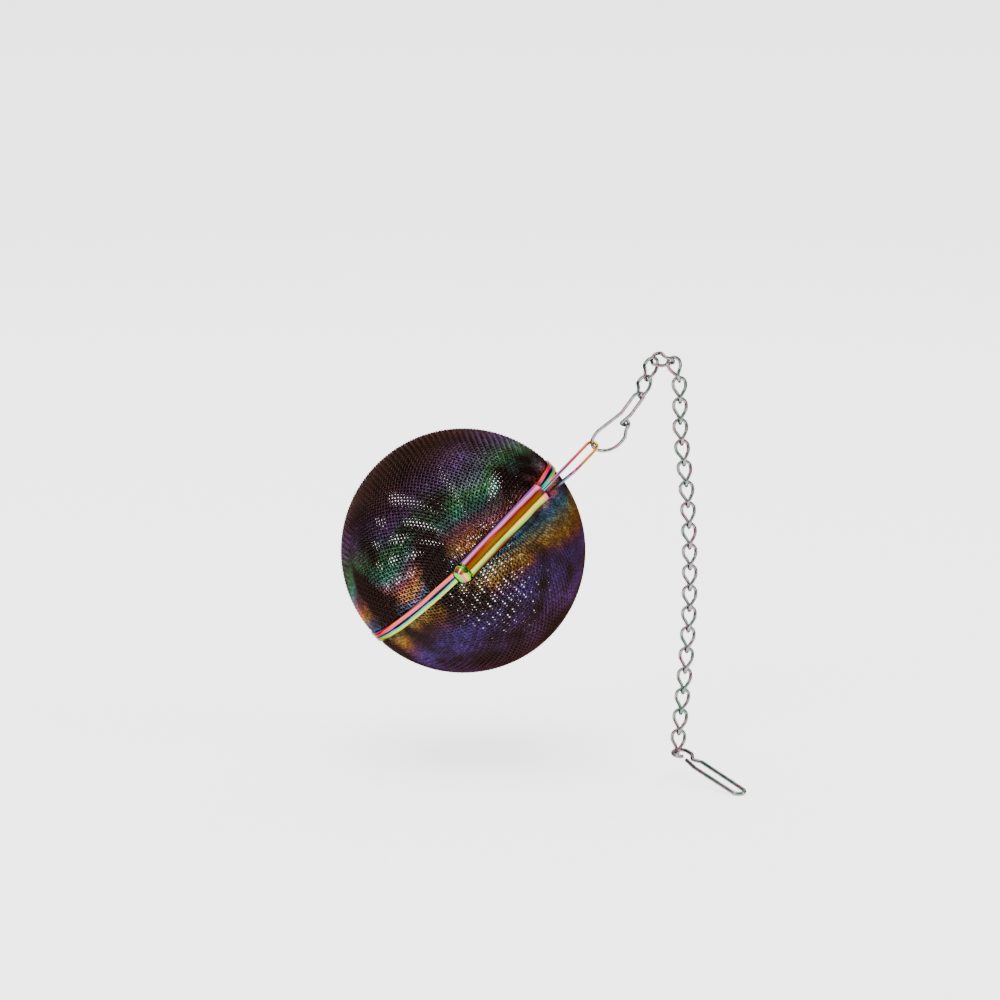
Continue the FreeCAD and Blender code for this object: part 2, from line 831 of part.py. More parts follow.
def build():
    fill_sheet()
    nodes = [
        make_basket("lower_mesh_basket", -1),
        make_basket("upper_mesh_basket", 1),
        make_rim("lower_rim", -1),
        make_rim("upper_rim", 1),
        make_barrel(),
        make_pin(),
        make_hinge_wire(),
        make_strap(),
        rim_block("latch_anchor", "seam_gap", "rim_height - seam_gap"),
        rim_block("latch_keeper", "-1 * rim_height", "rim_height - seam_gap"),
        make_tongue(),
        make_clip(),
        make_gate(),
    ]
    nodes.extend(make_chain())
    nodes.append(make_hook())
    doc.recompute()
    for item in doc.Objects:
        if "Invalid" in item.State or "Error" in item.State:
            raise RuntimeError("%s did not build: %s" % (item.Name, item.State))
    for item in nodes:
        shape = item.Shape
        if shape.isNull() or not shape.isValid() or shape.Volume <= 0:
            raise RuntimeError("%s has no valid shape" % item.Name)
        if len(shape.Solids) != 1:
            raise RuntimeError("%s has %d solids" % (item.Name, len(shape.Solids)))
    os.makedirs("parts", exist_ok=True)
    for item in nodes:
        item.Label = item.Name
        item.Shape.exportStep(os.path.join("parts", item.Label + ".step"))
    return nodes


build()
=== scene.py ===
"""Tea infuser: a woven mesh ball in two halves, with its rims, hinge, clip, chain and hook."""

import json
import math

import bpy
import numpy as np
from mathutils import Matrix, Vector


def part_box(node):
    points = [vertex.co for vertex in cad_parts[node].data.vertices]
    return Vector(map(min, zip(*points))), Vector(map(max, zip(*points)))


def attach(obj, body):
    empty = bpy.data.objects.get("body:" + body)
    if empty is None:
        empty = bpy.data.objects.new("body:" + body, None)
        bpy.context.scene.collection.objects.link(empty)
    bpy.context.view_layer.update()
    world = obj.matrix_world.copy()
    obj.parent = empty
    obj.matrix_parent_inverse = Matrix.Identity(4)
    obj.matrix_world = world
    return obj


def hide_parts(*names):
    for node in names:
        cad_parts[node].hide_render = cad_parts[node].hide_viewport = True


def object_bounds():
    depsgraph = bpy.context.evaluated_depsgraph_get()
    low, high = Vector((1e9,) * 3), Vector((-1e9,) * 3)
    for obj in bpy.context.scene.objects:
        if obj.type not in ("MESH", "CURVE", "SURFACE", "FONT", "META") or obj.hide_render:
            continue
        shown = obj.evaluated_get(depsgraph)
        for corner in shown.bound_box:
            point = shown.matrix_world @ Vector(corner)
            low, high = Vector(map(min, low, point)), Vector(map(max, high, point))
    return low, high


bl_info = {
    "name": "Tea Infuser Finish",
    "version": (1, 0, 0),
    "blender": (4, 5, 0),
    "location": "View3D > Sidebar > Infuser",
    "description": "Weaves the baskets of a mesh tea ball and finishes its metal parts",
    "category": "Object",
}

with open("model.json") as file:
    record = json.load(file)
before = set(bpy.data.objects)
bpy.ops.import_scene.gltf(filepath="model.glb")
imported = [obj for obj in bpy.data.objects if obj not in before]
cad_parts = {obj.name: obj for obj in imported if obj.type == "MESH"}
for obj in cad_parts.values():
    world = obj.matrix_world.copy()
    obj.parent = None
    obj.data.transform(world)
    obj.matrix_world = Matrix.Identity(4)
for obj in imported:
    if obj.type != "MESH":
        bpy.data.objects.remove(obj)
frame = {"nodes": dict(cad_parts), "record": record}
CAD_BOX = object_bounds()
JOINTS = {joint["name"]: joint for joint in frame["record"]["behaviour"]["joints"]}


# ------------------------------------------------------------------ places taken from the frame


def ball_place():
    """Ball frame as a matrix: X along the hinge, Z square to the seam on the upper basket's side."""
    low, high = (Vector(corner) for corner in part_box("lower_mesh_basket"))
    radius = (high.y - low.y) / 2
    centre = Vector((0.0, 0.0, radius))
    along = Vector(JOINTS["basket_hinge"]["axis"]).normalized()
    hinge = Vector(JOINTS["basket_hinge"]["pos_m"])
    inward = centre - hinge
    inward = (inward - along * inward.dot(along)).normalized()
    up = along.cross(inward)
    turn = Matrix((along, inward, up)).transposed()
    return centre, turn, radius


BALL_CENTRE, BALL_TURN, BALL_RADIUS = ball_place()
HINGE_POINT = Vector(JOINTS["basket_hinge"]["pos_m"])
HINGE_ALONG = BALL_TURN.col[0].copy()
HINGE_INWARD = BALL_TURN.col[1].copy()
SEAM_UP = BALL_TURN.col[2].copy()

# metres: the sleeve's outside radius, and how far a rim's top lies from the seam
SLEEVE_RADIUS = 0.0021
RIM_TOP = 0.00115


# ------------------------------------------------------------------ settings a user would change


class InfuserCloth(bpy.types.PropertyGroup):
    """Sizes of the woven cloth."""

    pitch: bpy.props.FloatProperty(
        name="Mesh Pitch", description="Distance from one wire of the cloth to the next",
        default=0.00076, min=0.0005, unit="LENGTH", subtype="DISTANCE", precision=5)
    wire: bpy.props.FloatProperty(
        name="Wire Diameter", description="Diameter of the cloth's wire",
        default=0.00045, min=0.0001, unit="LENGTH", subtype="DISTANCE", precision=5)
    thickness: bpy.props.FloatProperty(
        name="Cloth Thickness", description="Thickness that the rims leave for the cloth",
        default=0.0003, min=0.0001, unit="LENGTH", subtype="DISTANCE", precision=5)
    tuck: bpy.props.FloatProperty(
        name="Tuck", description="How far from the seam the cloth ends, inside its rim",
        default=0.00025, min=0.0, unit="LENGTH", subtype="DISTANCE", precision=5)
    pressed: bpy.props.FloatProperty(
        name="Pressed Edge", description="Width of the edge that the rim presses flat",
        default=0.0011, min=0.0001, unit="LENGTH", subtype="DISTANCE", precision=5)
    bias: bpy.props.FloatProperty(
        name="Bias", description="Turn of the cloth's threads from the hinge's direction",
        default=math.radians(28.0), subtype="ANGLE")


def colour(name, description, value):
    """A colour setting."""
    return bpy.props.FloatVectorProperty(
        name=name, description=description, subtype="COLOR", size=3, min=0.0, max=1.0, default=value)


class InfuserColours(bpy.types.PropertyGroup):
    """Colours of the rainbow coating and of the plain steel."""

    smoke: colour("Smoke", "Darkest tone of the coated cloth", (0.016, 0.010, 0.009))
    brown: colour("Brown", "Brown of the coated cloth", (0.080, 0.038, 0.018))
    violet: colour("Violet", "Violet of the coating", (0.17, 0.06, 0.30))
    indigo: colour("Indigo", "Blue of the coating", (0.05, 0.06, 0.30))
    teal: colour("Teal", "Teal of the coating", (0.015, 0.27, 0.30))
    green: colour("Green", "Green of the coating", (0.09, 0.38, 0.06))
    gold: colour("Gold", "Gold of the coating", (0.70, 0.36, 0.02))
    orange: colour("Orange", "Orange of the coating", (0.66, 0.12, 0.012))
    rose: colour("Rose", "Rose of the coating", (0.52, 0.06, 0.15))
    mauve: colour("Mauve", "Greyed violet of the coating", (0.26, 0.085, 0.20))
    wine: colour("Wine", "Dark red of the coating", (0.15, 0.010, 0.010))
    steel: colour("Steel", "Bare stainless steel", (0.20, 0.196, 0.192))


class InfuserStage(bpy.types.PropertyGroup):
    """Floor, light and camera."""

    level: bpy.props.FloatProperty(
        name="Table Level", description="Height of the table's top, where the hook rests",
        default=CAD_BOX[0][2], unit="LENGTH", subtype="DISTANCE")
    aim: bpy.props.FloatVectorProperty(
        name="Aim", description="Point that the camera looks at", size=3,
        default=(0.0076, 0.0, 0.0355), unit="LENGTH", subtype="XYZ")
    elevation: bpy.props.FloatProperty(
        name="Elevation", description="Camera's angle above the table",
        default=math.radians(8.5), subtype="ANGLE")
    distance: bpy.props.FloatProperty(
        name="Distance", description="Camera's distance from the aim",
        default=0.9, unit="LENGTH", subtype="DISTANCE")
    view_width: bpy.props.FloatProperty(
        name="View Width", description="Width of what the camera sees at the aim",
        default=0.2058, unit="LENGTH", subtype="DISTANCE")
    glow: bpy.props.FloatProperty(
        name="Paper Glow", description="Light that the lit paper of the backdrop gives off",
        default=1.9, min=0.0)
    backdrop: colour("Backdrop", "Colour of the floor and backdrop", (0.86, 0.86, 0.86))


# ------------------------------------------------------------------ shader expressions


# places of the colour sockets among those of a Mix node
MIX_FACTOR = 0
MIX_FIRST = 6
MIX_SECOND = 7
MIX_RESULT = 2


class Wire:
    """A socket in a node tree, for writing shader maths as an expression."""

    def __init__(self, tree, socket):
        self.tree = tree
        self.socket = socket

    def node(self, kind, settings=None, inputs=None, output=0):
        """Adds a node: its settings first, then the values or wires of its sockets."""
        return add_node(self.tree, kind, settings, inputs, output)

    def maths(self, operation, *others, clamp=False):
        settings = {"operation": operation, "use_clamp": clamp}
        return self.node("ShaderNodeMath", settings, dict(enumerate((self,) + others)))

    def __add__(self, other):
        return self.maths("ADD", other)

    def __radd__(self, other):
        return self.maths("ADD", other)

    def __sub__(self, other):
        return self.maths("SUBTRACT", other)

    def __rsub__(self, other):
        return add_node(self.tree, "ShaderNodeMath", {"operation": "SUBTRACT"}, {0: other, 1: self})

    def __mul__(self, other):
        return self.maths("MULTIPLY", other)

    def __rmul__(self, other):
        return self.maths("MULTIPLY", other)

    def __truediv__(self, other):
        return self.maths("DIVIDE", other)

    def clamp(self):
        return self.maths("ADD", 0.0, clamp=True)

    def sine(self):
        return self.maths("SINE")

    def absolute(self):
        return self.maths("ABSOLUTE")

    def dot(self, direction):
        settings = {"operation": "DOT_PRODUCT"}
        return self.node("ShaderNodeVectorMath", settings, {0: self, 1: tuple(direction)}, "Value")

    def less(self, point):
        settings = {"operation": "SUBTRACT"}
        return self.node("ShaderNodeVectorMath", settings, {0: self, 1: tuple(point)}, "Vector")

    def noise(self, scale, detail=2.0, roughness=0.5):
        inputs = {"Vector": self, "Scale": scale, "Detail": detail, "Roughness": roughness}
        return self.node("ShaderNodeTexNoise", {}, inputs, "Fac")

    def ramp(self, stops, ease="EASE"):
        """A colour ramp through (place, colour) stops."""
        settings = {"stops": stops, "ease": ease}
        return self.node("ShaderNodeValToRGB", settings, {"Fac": self}, "Color")

    def between(self, first, second):
        """Mix of two colours, by this value."""
        settings = {"data_type": "RGBA", "clamp_factor": True}
        mixed = {MIX_FACTOR: self, MIX_FIRST: first, MIX_SECOND: second}
        return self.node("ShaderNodeMix", settings, mixed, MIX_RESULT)

def add_node(tree, kind, settings=None, inputs=None, output=0):
    item = tree.nodes.new(kind)
    for name, value in (settings or {}).items():
        if name == "stops":
            fill_ramp(item.color_ramp, value)
        elif name == "ease":
            item.color_ramp.interpolation = value
        else:
            setattr(item, name, value)
    for name, value in (inputs or {}).items():
        if isinstance(value, Wire):
            tree.links.new(value.socket, item.inputs[name])
        else:
            item.inputs[name].default_value = fitted(item.inputs[name], value)
    return Wire(tree, item.outputs[output])


def fitted(socket, value):
    """A colour of three numbers gets its alpha where the socket holds four."""
    if socket.type == "RGBA" and len(value) == 3:
        return (*value, 1.0)
    return value


def fill_ramp(ramp, stops):
    """Sets a ramp's stops from (place, colour) pairs."""
    for place, shade in stops[2:]:
        ramp.elements.new(place)
    for element, (place, shade) in zip(ramp.elements, stops):
        element.position = place
        element.color = (*shade, 1.0)


class Finish:
    """A material with one principled shader, fed by expressions."""

    def __init__(self, name, **constants):
        self.material = bpy.data.materials.new(name)
        self.material.use_nodes = True
        self.tree = self.material.node_tree
        self.shader = self.tree.nodes["Principled BSDF"]
        for socket, value in constants.items():
            name = socket.replace("_", " ").title().replace("Ior", "IOR")
            self.shader.inputs[name].default_value = fitted(self.shader.inputs[name], value)

    def place(self):
        """Position on the object, in metres."""
        return add_node(self.tree, "ShaderNodeTexCoord", {}, {}, "Object")

    def feed(self, socket, wire):
        self.tree.links.new(wire.socket, self.shader.inputs[socket])

    def bump(self, height, distance, strength=1.0):
        inputs = {"Height": height, "Distance": distance, "Strength": strength}
        self.feed("Normal", add_node(self.tree, "ShaderNodeBump", {}, inputs, "Normal"))


def settings():
    """The scene's settings for this part."""
    scene = bpy.context.scene
    return scene.infuser_cloth, scene.infuser_colours, scene.infuser_stage


# ------------------------------------------------------------------ finishes


def evenly(*shades):
    """Colours as evenly placed ramp stops."""
    last = len(shades) - 1
    return [(index / last, tuple(shade)) for index, shade in enumerate(shades)]


def cloth_finish(tones):
    """Coated wire cloth: smoky metal whose colours follow one another away from the seam.

    The bands wander, fade into brown towards both poles, and break up into flecks, where the
    coating's colour shows stronger as painted glints on the wires."""
    edge = (0.45, 0.38, 0.36)
    finish = Finish("coated_wire_cloth", metallic=1.0, roughness=0.34, specular_tint=edge)
    local = finish.place().less(BALL_CENTRE)
    above = local.dot(SEAM_UP) / BALL_RADIUS
    along = local.dot(HINGE_ALONG) / BALL_RADIUS
    wander = local.noise(46.0, 3.0, 0.55) - 0.5
    place = above * 0.5 + along * 0.06 + wander * 0.30 + 0.5
    shades = place.clamp().ramp([
        (0.0, tuple(tones.brown)),
        (0.14, tuple(tones.violet)),
        (0.26, tuple(tones.indigo)),
        (0.33, tuple(tones.wine)),
        (0.39, tuple(tones.gold)),
        (0.45, tuple(tones.teal)),
        (0.50, tuple(tones.indigo)),
        (0.54, tuple(tones.gold)),
        (0.59, tuple(tones.rose)),
        (0.65, tuple(tones.teal)),
        (0.71, tuple(tones.green)),
        (0.78, tuple(tones.violet)),
        (0.88, tuple(tones.brown)),
        (1.0, tuple(tones.brown)),
    ], "B_SPLINE")
    flecks = local.noise(1500.0, 1.0, 0.4)
    # painted glints: in small flecks the coating's colour is stronger and reflects brighter,
    # standing in for the coloured glints of the wires
    fleck_and_painted_glint_mask = ((flecks - 0.46) * 6.0).clamp()
    patch = ((local.noise(95.0, 2.0, 0.6) - 0.40) * 3.2).clamp()
    near_seam = (1.05 - above.absolute() * 0.75).clamp()
    strength = patch * near_seam * (fleck_and_painted_glint_mask * 0.65 + 0.35)
    base = strength.between(tuple(tones.smoke), shades)
    finish.feed("Base Color", base)
    finish.feed("Roughness", flecks * 0.2 + 0.22)
    return finish.material


def barrel_coating_and_painted_reflection(tones):
    """Coated rolled sheet: colours run round the sleeve, with drawn lines along it. The colours
    round the sleeve are laid out as its reflection bands: coating colour with a painted highlight
    and a painted dark edge.
    """
    edge = (0.50, 0.36, 0.30)
    finish = Finish("coated_sheet_with_painted_reflection", metallic=1.0, roughness=0.16, specular_tint=edge)
    local = finish.place().less(HINGE_POINT)
    # which way the surface faces round the sleeve: the colours follow it, so they paint reflection
    # bands onto the coating
    turn = local.dot(SEAM_UP) / SLEEVE_RADIUS
    drift = local.noise(120.0, 2.0, 0.5)
    place = 0.5 - turn * 0.5 + (drift - 0.5) * 0.42
    # coating colours round the sleeve, with orange as a painted highlight and brown as a painted
    # dark edge
    stops = [
        (0.0, tuple(tones.violet)),
        (0.14, tuple(tones.mauve)),
        (0.28, tuple(tones.wine)),
        (0.38, tuple(tones.orange)),
        (0.50, tuple(tones.gold)),
        (0.66, tuple(tones.gold)),
        (0.80, tuple(tones.green)),
        (0.90, tuple(tones.brown)),
        (1.0, tuple(tones.wine)),
    ]
    end = ((local.dot(HINGE_ALONG) - 0.0112) * 900.0).clamp()
    body = place.clamp().ramp(stops)
    finish.feed("Base Color", end.between(body, tuple(tones.rose)))
    lines = streaks(local)
    finish.feed("Roughness", lines * 0.16 + 0.08)
    finish.bump(lines, 0.00002, 0.3)
    return finish.material


def streaks(local):
    """Fine drawn lines along the hinge: noise squeezed across it and stretched along it."""
    across = local.dot(SEAM_UP) * 5200.0
    outward = local.dot(HINGE_INWARD) * 5200.0
    along = local.dot(HINGE_ALONG) * 260.0
    stretched = add_node(local.tree, "ShaderNodeCombineXYZ", {}, {0: along, 1: across, 2: outward})
    return stretched.noise(1.0, 2.0, 0.5)


def ring_finish(name, shades):
    """Coated bead of a rim: its colours wander round the ring."""
    finish = Finish(name, metallic=1.0, roughness=0.2, specular_tint=(0.30, 0.24, 0.24))
    local = finish.place().less(BALL_CENTRE)
    drift = local.noise(70.0, 2.0, 0.5)
    level = local.dot(SEAM_UP).absolute() / RIM_TOP
    place = ((drift - 0.5) * 1.2 + level).clamp()
    finish.feed("Base Color", place.ramp(evenly(*shades)))
    marks = local.noise(3200.0, 2.0, 0.5)
    finish.feed("Roughness", marks * 0.16 + 0.12)
    finish.bump(marks, 0.00002, 0.25)
    return finish.material


def banded_finish(name, shades, bands, wander, roughness):
    """Coated metal whose colours follow one another along the hinge; bands is per metre."""
    edge = (0.35, 0.28, 0.28)
    finish = Finish(name, metallic=1.0, roughness=roughness, specular_tint=edge)
    local = finish.place().less(HINGE_POINT)
    drift = local.noise(160.0, 2.0, 0.5)
    place = local.dot(HINGE_ALONG) * bands + (drift - 0.5) * wander
    folded = (place * math.tau).sine() * 0.5 + 0.5
    finish.feed("Base Color", folded.ramp(evenly(*shades)))
    marks = local.noise(3600.0, 2.0, 0.5)
    finish.feed("Roughness", marks * 0.12 + roughness - 0.05)
    finish.bump(marks, 0.00002, 0.25)
    return finish.material


def steel_finish(tones):
    """Bright stainless wire with faint traces of colour and fine draw marks."""
    edge = (0.10, 0.09, 0.10)
    finish = Finish("bright_wire", metallic=1.0, roughness=0.2, specular_tint=edge)
    place = finish.place()
    drift = place.noise(420.0, 2.0, 0.5)
    bare = tuple(tones.steel)
    tint = ((drift - 0.40) * 5.0).clamp().ramp([
        (0.0, (0.22, 0.13, 0.15)),
        (0.30, bare),
        (0.72, bare),
        (1.0, (0.11, 0.17, 0.13)),
    ])
    finish.feed("Base Color", tint)
    marks = place.noise(5200.0, 2.0, 0.6)
    finish.feed("Roughness", marks * 0.18 + 0.08)
    finish.bump(marks, 0.00002, 0.35)
    return finish.material


def paint(names, material):
    """Gives CAD nodes a material in place of their plain one."""
    for name in names:
        node = frame["nodes"][name]
        for place in node.material_slots:
            place.material = material


# ------------------------------------------------------------------ woven cloth


# a wire is a tube of flat sides
SIDES = 6

# the flat map of a wire's skin, in distances from one crossing to the next
SIDE_WIDTH = 0.32
CAP_SIZE = 0.4
CAP_GAP = 0.7
STRIP_GAP = 2.5
ROW_GAP = STRIP_GAP / 4
MAP_SPARE = 1.02

# how far a wire bends over the next, as a share of its diameter, and the least
# part of that bend which is left where a rim presses the cloth
BEND = 0.48
PRESSED_BEND = 0.06

SPARE_CROSSINGS = 2
SHORTEST_NORMAL = 1e-9


def net_on_ball(step, count):
    """Unit vectors of a net of equal arcs pressed over a ball, with its pole at +Z.

    The two middle threads are great circles, and each further crossing mirrors the one behind
    it in the plane through its two neighbours, so no arc of thread is longer than another."""
    size = 2 * count + 1
    net = np.full((size, size, 3), np.nan)
    arcs = (np.arange(size) - count) * step
    net[:, count] = np.stack([np.sin(arcs), np.zeros(size), np.cos(arcs)], 1)
    net[count, :] = np.stack([np.zeros(size), np.sin(arcs), np.cos(arcs)], 1)
    for side_i in (1, -1):
        for side_j in (1, -1):
            for i in range(1, count + 1):
                for j in range(1, count + 1):
                    spread(net, count, side_i * i, side_j * j, side_i, side_j)
    return net


def spread(net, middle, i, j, step_i, step_j):
    """Sets one crossing from the three nearer the pole."""
    behind = net[middle + i - step_i, middle + j - step_j]
    first = net[middle + i, middle + j - step_j]
    second = net[middle + i - step_i, middle + j]
    normal = np.cross(first, second)
    length = np.linalg.norm(normal)
    if not length > SHORTEST_NORMAL:
        return
    normal /= length
    net[middle + i, middle + j] = behind - 2 * np.dot(behind, normal) * normal


def runs(inside):
    """Stretches of True in a row, as (first, last + 1)."""
    edges = np.flatnonzero(np.diff(np.concatenate([[0], inside.astype(np.int8), [0]])))
    return zip(edges[::2], edges[1::2])


def thread(points, wave, radius, place, cloth):
    """Adds one bent wire: a ring of corners at each crossing, and a cap at each end.

    Its skin lies on the flat map as one strip that starts at the given place, with a cap
    beside each end."""
    outward = points / np.linalg.norm(points, axis=1, keepdims=True)
    heading = np.gradient(points, axis=0)
    heading /= np.linalg.norm(heading, axis=1, keepdims=True)
    across = np.cross(outward, heading)
    centre = points + outward * wave[:, None]
    angles = (np.arange(SIDES) + 0.5) * math.tau / SIDES
    ring = [centre + radius * (across * math.cos(a) + outward * math.sin(a)) for a in angles]
    start = cloth["count"]
    cloth["vertices"].append(np.stack(ring, 1).reshape(-1, 3))
    last = len(points) - 1
    cloth["count"] += SIDES * (last + 1)
    u, v = place
    for k in range(last):
        low = start + k * SIDES
        for side in range(SIDES):
            after = (side + 1) % SIDES
            corners = (low + side, low + after, low + SIDES + after, low + SIDES + side)
            bottom = v + side * SIDE_WIDTH
            top = bottom + SIDE_WIDTH
            cloth["faces"].append(corners)
            cloth["flat"].extend((u + k, bottom, u + k, top, u + k + 1, top, u + k + 1, bottom))
    first_cap = [start + side for side in reversed(range(SIDES))]
    last_cap = [start + last * SIDES + side for side in range(SIDES)]
    for cap, middle in ((first_cap, u - CAP_GAP), (last_cap, u + last + CAP_GAP)):
        cloth["faces"].append(tuple(cap))
        for angle in angles:
            cloth["flat"].extend((middle + CAP_SIZE * math.cos(angle),
                                  v + CAP_SIZE * (1 + math.sin(angle))))


def lay_strips(lengths):
    """Where each wire's strip starts on the flat map, row by row, and the map's width.

    One unit is the distance from one crossing to the next."""
    row = SIDES * SIDE_WIDTH + ROW_GAP
    width = math.sqrt(sum(length + STRIP_GAP for length in lengths) * row) * MAP_SPARE
    width = max(width, max(lengths) + STRIP_GAP)
    places = []
    u = v = 0.0
    for length in lengths:
        if u + length + STRIP_GAP > width:
            u = 0.0
            v += row
        places.append((u + STRIP_GAP / 2, v))
        u += length + STRIP_GAP
    return places, max(width, v + row)


def cloth_wires(cloth):
    """Every wire of a half ball above the XY plane, as its crossings and its bend at each."""
    middle = BALL_RADIUS - cloth.thickness / 2
    step = cloth.pitch / middle
    count = int(math.pi / 2 / step) + SPARE_CROSSINGS
    net = net_on_ball(step, count)
    turn = np.array(Matrix.Rotation(cloth.bias, 3, "Z"))
    net = net @ turn.T
    height = net[..., 2] * middle
    lies = np.nan_to_num(height, nan=-1.0) >= cloth.tuck
    order = np.add.outer(np.arange(len(net)), np.arange(len(net)))
    loose = np.clip(np.nan_to_num(height) / cloth.pressed - 1.0, PRESSED_BEND, 1.0)
    wave = np.where(order % 2 == 0, 1.0, -1.0) * cloth.wire * BEND * loose
    wires = []
    for row in range(len(net)):
        for first, last in runs(lies[row]):
            wires.append((net[row, first:last] * middle, wave[row, first:last]))
        for first, last in runs(lies[:, row]):
            wires.append((net[first:last, row] * middle, -wave[first:last, row]))
    return [wire for wire in wires if len(wire[0]) > 1]


def weave_basket(name, side, cloth):
    """Half ball of plain-woven wire; side is 1 for the basket above the seam."""
    wires = cloth_wires(cloth)
    places, width = lay_strips([len(points) - 1 for points, _ in wires])
    woven = {"count": 0, "vertices": [], "faces": [], "flat": []}
    for (points, bend), place in zip(wires, places):
        thread(points, bend, cloth.wire / 2, place, woven)
    flip = Matrix.Rotation(math.pi, 3, "X") if side < 0 else Matrix.Identity(3)
    carry = np.array(BALL_TURN @ flip)
    corners = np.concatenate(woven["vertices"]) @ carry.T + np.array(BALL_CENTRE)
    mesh = bpy.data.meshes.new(name)
    mesh.from_pydata(corners.tolist(), [], woven["faces"])
    layer = mesh.uv_layers.new(name="OFBake")
    layer.uv.foreach_set("vector", (np.array(woven["flat"]) / width).astype(np.float32))
    mesh.polygons.foreach_set("use_smooth", [True] * len(mesh.polygons))
    mesh.update()
    piece = bpy.data.objects.new(name, mesh)
    bpy.context.scene.collection.objects.link(piece)
    return piece


# ------------------------------------------------------------------ operators


class INFUSER_OT_weave_baskets(bpy.types.Operator):
    """Weave both baskets from wire and hang them on their halves"""

    bl_idname = "infuser.weave_baskets"
    bl_label = "Weave Baskets"

    def execute(self, context):
        cloth, tones, _ = settings()
        material = cloth_finish(tones)
        for name, side, node, body in (
            ("woven_lower_basket", -1, "lower_mesh_basket", "lower_half"),
            ("woven_upper_basket", 1, "upper_mesh_basket", "upper_half"),
        ):
            piece = weave_basket(name, side, cloth)
            piece.data.materials.append(material)
            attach(piece, body)
            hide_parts(node)
        return {"FINISHED"}


class INFUSER_OT_finish_rims(bpy.types.Operator):
    """Finish the two crimped rims in the coating's colours"""

    bl_idname = "infuser.finish_rims"
    bl_label = "Finish Rims"

    def execute(self, context):
        _, tones, _ = settings()
        warm = (tones.brown, tones.rose, tones.mauve, tones.orange, tones.wine, tones.mauve)
        cool = (tones.smoke, tones.teal, tones.green, tones.gold, tones.green, tones.brown)
        paint(["upper_rim"], ring_finish("coated_upper_rim", warm))
        paint(["lower_rim"], ring_finish("coated_lower_rim", cool))
        return {"FINISHED"}


class INFUSER_OT_finish_hinge(bpy.types.Operator):
    """Finish the rolled sleeve, its pin, the hairpin wire and the strap"""

    bl_idname = "infuser.finish_hinge"
    bl_label = "Finish Hinge"

    def execute(self, context):
        _, tones, _ = settings()
        paint(["hinge_barrel"], barrel_coating_and_painted_reflection(tones))
        head = (tones.green, tones.rose, tones.gold, tones.green)
        wire = (tones.gold, tones.rose, tones.mauve, tones.teal)
        strap = (tones.gold, tones.orange, tones.rose)
        paint(["hinge_pin"], banded_finish("coated_pin_head", head, 260.0, 0.4, 0.14))
        paint(["hinge_wire"], banded_finish("coated_hinge_wire", wire, 26.0, 0.5, 0.18))
        paint(["hinge_wire_strap"], banded_finish("coated_strap", strap, 90.0, 0.3, 0.2))
        return {"FINISHED"}


class INFUSER_OT_finish_latch(bpy.types.Operator):
    """Finish the latch opposite the hinge"""

    bl_idname = "infuser.finish_latch"
    bl_label = "Finish Latch"

    def execute(self, context):
        _, tones, _ = settings()
        shades = (tones.green, tones.gold, tones.rose, tones.mauve)
        material = banded_finish("coated_latch", shades, 70.0, 0.5, 0.2)
        paint(["latch_anchor", "latch_keeper", "latch_tongue"], material)
        return {"FINISHED"}


class INFUSER_OT_finish_chain(bpy.types.Operator):
    """Finish the clip, the chain's links and the end hook in bright wire"""

    bl_idname = "infuser.finish_chain"
    bl_label = "Finish Clip, Chain and Hook"

    def execute(self, context):
        _, tones, _ = settings()
        material = steel_finish(tones)
        links = [name for name in frame["nodes"] if name.startswith("chain_link")]
        paint(links + ["clip_body", "clip_gate", "end_hook"], material)
        return {"FINISHED"}


class INFUSER_OT_set_stage(bpy.types.Operator):
    """Set the table, the backdrop, the lights and the camera"""

    bl_idname = "infuser.set_stage"
    bl_label = "Set Stage"

    def execute(self, context):
        _, _, stage = settings()
        lay_floor(stage)
        hang_lights(stage)
        set_camera(stage)
        return {"FINISHED"}


# metres: half the floor's width and depth, how far it runs behind the part before it curves
# up, the radius of that curve, and how many steps the curve is made of
FLOOR_HALF = 6.0
FLOOR_BEHIND = 2.6
SWEEP_RADIUS = 1.2
SWEEP_STEPS = 16

# each lamp: its name, place from the aim, width, height and watts
LAMPS = (
    ("top_light", (-0.1, 0.1, 1.1), 1.2, 1.2, 20.0),
    ("left_light", (-0.75, -0.75, 0.55), 0.22, 0.9, 6.0),
    ("right_light", (0.9, -0.35, 0.35), 0.14, 0.8, 4.0),
)


def lay_floor(stage):
    """A pale floor that curves up into a backdrop far behind."""
    finish = Finish("pale_paper", roughness=0.9)
    finish.shader.inputs["Specular IOR Level"].default_value = 0.1
    finish.shader.inputs["Emission Color"].default_value = (1.0, 1.0, 1.0, 1.0)
    finish.shader.inputs["Emission Strength"].default_value = stage.glow
    grain = finish.place().noise(900.0, 2.0, 0.5)
    shade = tuple(stage.backdrop)
    darker = tuple(channel * 0.985 for channel in shade)
    finish.feed("Base Color", grain.between(darker, shade))
    half, level = FLOOR_HALF, stage.level
    profile = [(-half, level), (FLOOR_BEHIND, level)]
    for index in range(1, SWEEP_STEPS + 1):
        angle = index / SWEEP_STEPS * math.pi / 2
        out = SWEEP_RADIUS * math.sin(angle)
        rise = SWEEP_RADIUS * (1 - math.cos(angle))
        profile.append((FLOOR_BEHIND + out, level + rise))
    profile.append((FLOOR_BEHIND + SWEEP_RADIUS, level + half))
    vertices = []
    for y, z in profile:
        vertices.append((-half, y, z))
        vertices.append((half, y, z))
    faces = [(2 * k, 2 * k + 1, 2 * k + 3, 2 * k + 2) for k in range(len(profile) - 1)]
    mesh = bpy.data.meshes.new("table_and_backdrop")
    mesh.from_pydata(vertices, [], faces)
    mesh.polygons.foreach_set("use_smooth", [True] * len(mesh.polygons))
    mesh.materials.append(finish.material)
    floor = bpy.data.objects.new("table_and_backdrop", mesh)
    bpy.context.scene.collection.objects.link(floor)


